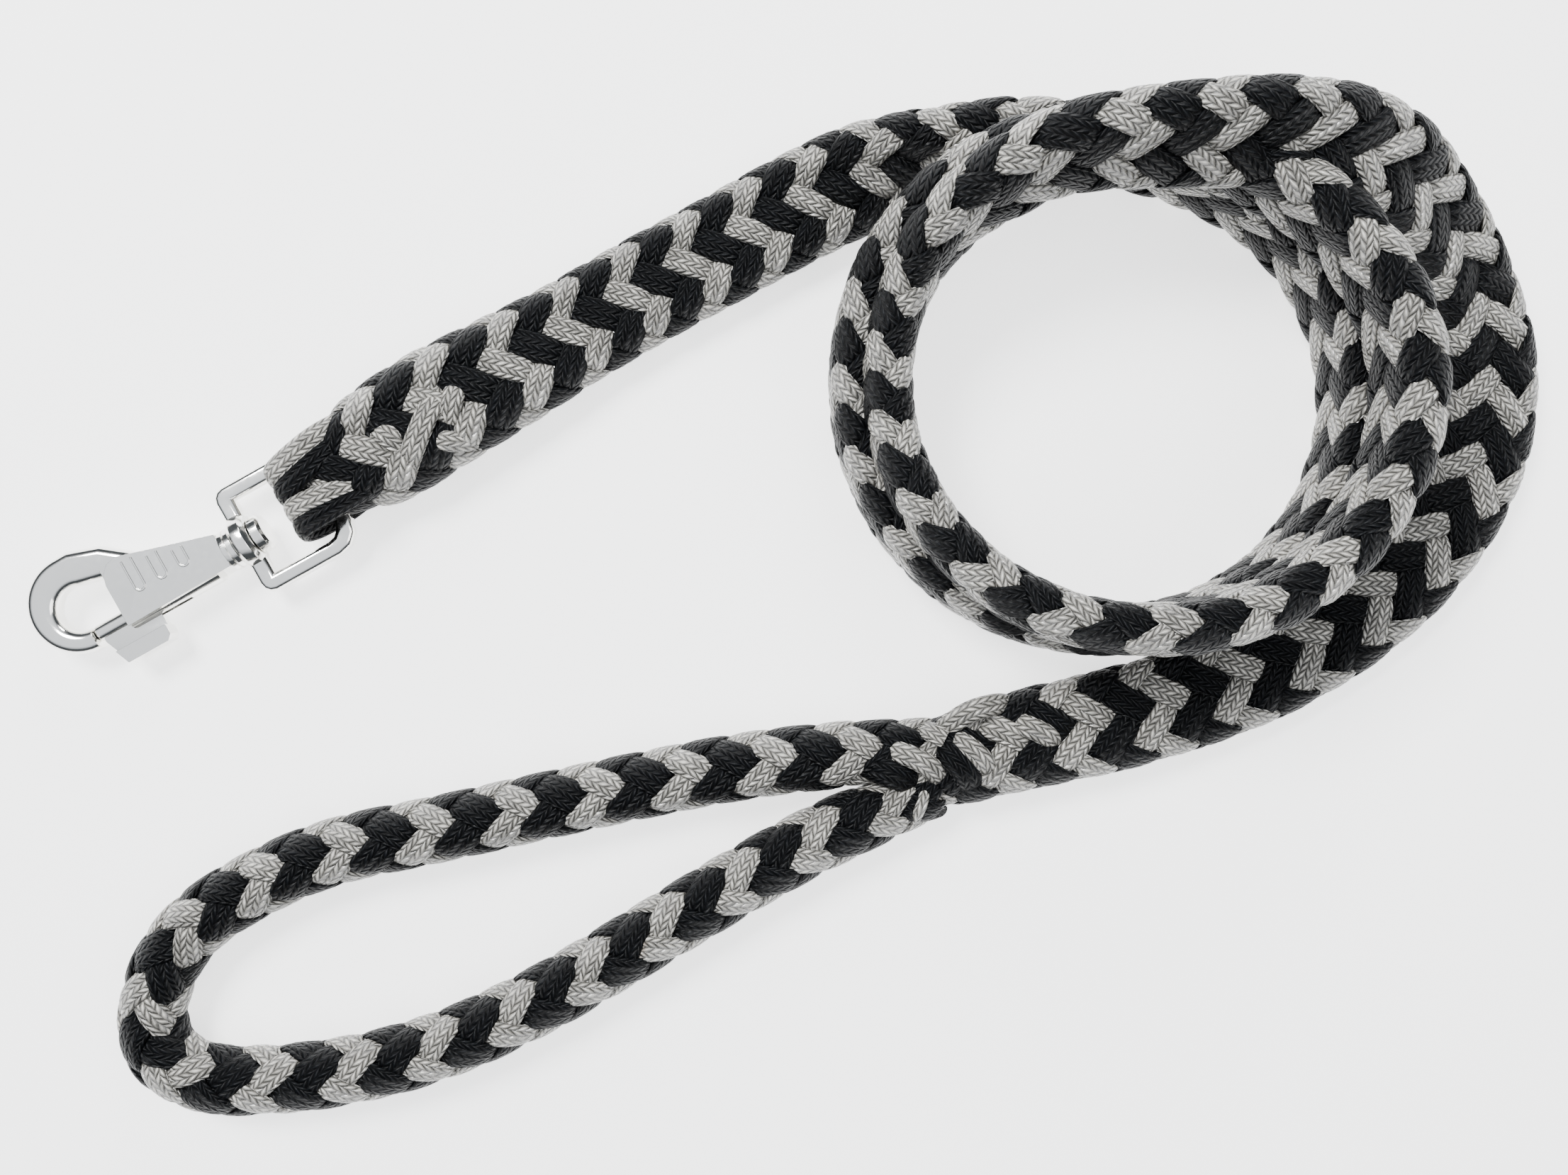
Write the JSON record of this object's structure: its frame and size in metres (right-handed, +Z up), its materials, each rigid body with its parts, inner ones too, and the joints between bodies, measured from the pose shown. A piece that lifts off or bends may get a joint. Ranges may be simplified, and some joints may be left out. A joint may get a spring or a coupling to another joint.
{
  "type": "lead rope",
  "caption": "Braided two-colour lead rope lying in a coil, with a swivel bolt snap at one end and a hand loop worked into the other.",
  "frame": {"origin": "on the floor under the middle of the snap's own box, hook and eye together", "axes": "+X along the snap's swivel axis from the hook to the rope, +Z up from the floor"},
  "size_m": [0.4949, 0.233, 0.071],
  "materials": {
    "chrome_casting": "bright plated zinc casting",
    "spring_wire": "drawn wire",
    "braided_cord": "braided polypropylene, black and silver grey",
    "grey_cord": "braided polypropylene, silver grey, silky",
    "black_cord": "braided polypropylene, black"
  },
  "bodies": {
    "lead": {"swivel_eye": "chrome_casting", "doubled_end": "braided_cord", "lead_run": "braided_cord", "rope_coil": "braided_cord", "outer_run": "braided_cord", "handle_merge": "braided_cord", "handle_loop": "braided_cord"},
    "snap": {"hook_body": "chrome_casting", "bolt_spring": "spring_wire"},
    "slider": {"bolt": "chrome_casting", "thumb_tab": "chrome_casting"}
  },
  "joints": [
    {"name": "swivel", "type": "hinge", "parent": "lead", "child": "snap", "pos_m": [0.01475, -0.0029, 0.0085], "axis": [1, 0, 0], "continuous": true},
    {"name": "bolt_slide", "type": "slide", "parent": "snap", "child": "slider", "axis": [1, 0, 0], "range_m": [0, 0.009], "stiffness_N_per_m": 500, "springref_m": -0.006, "deforming": ["bolt_spring"]}
  ]
}
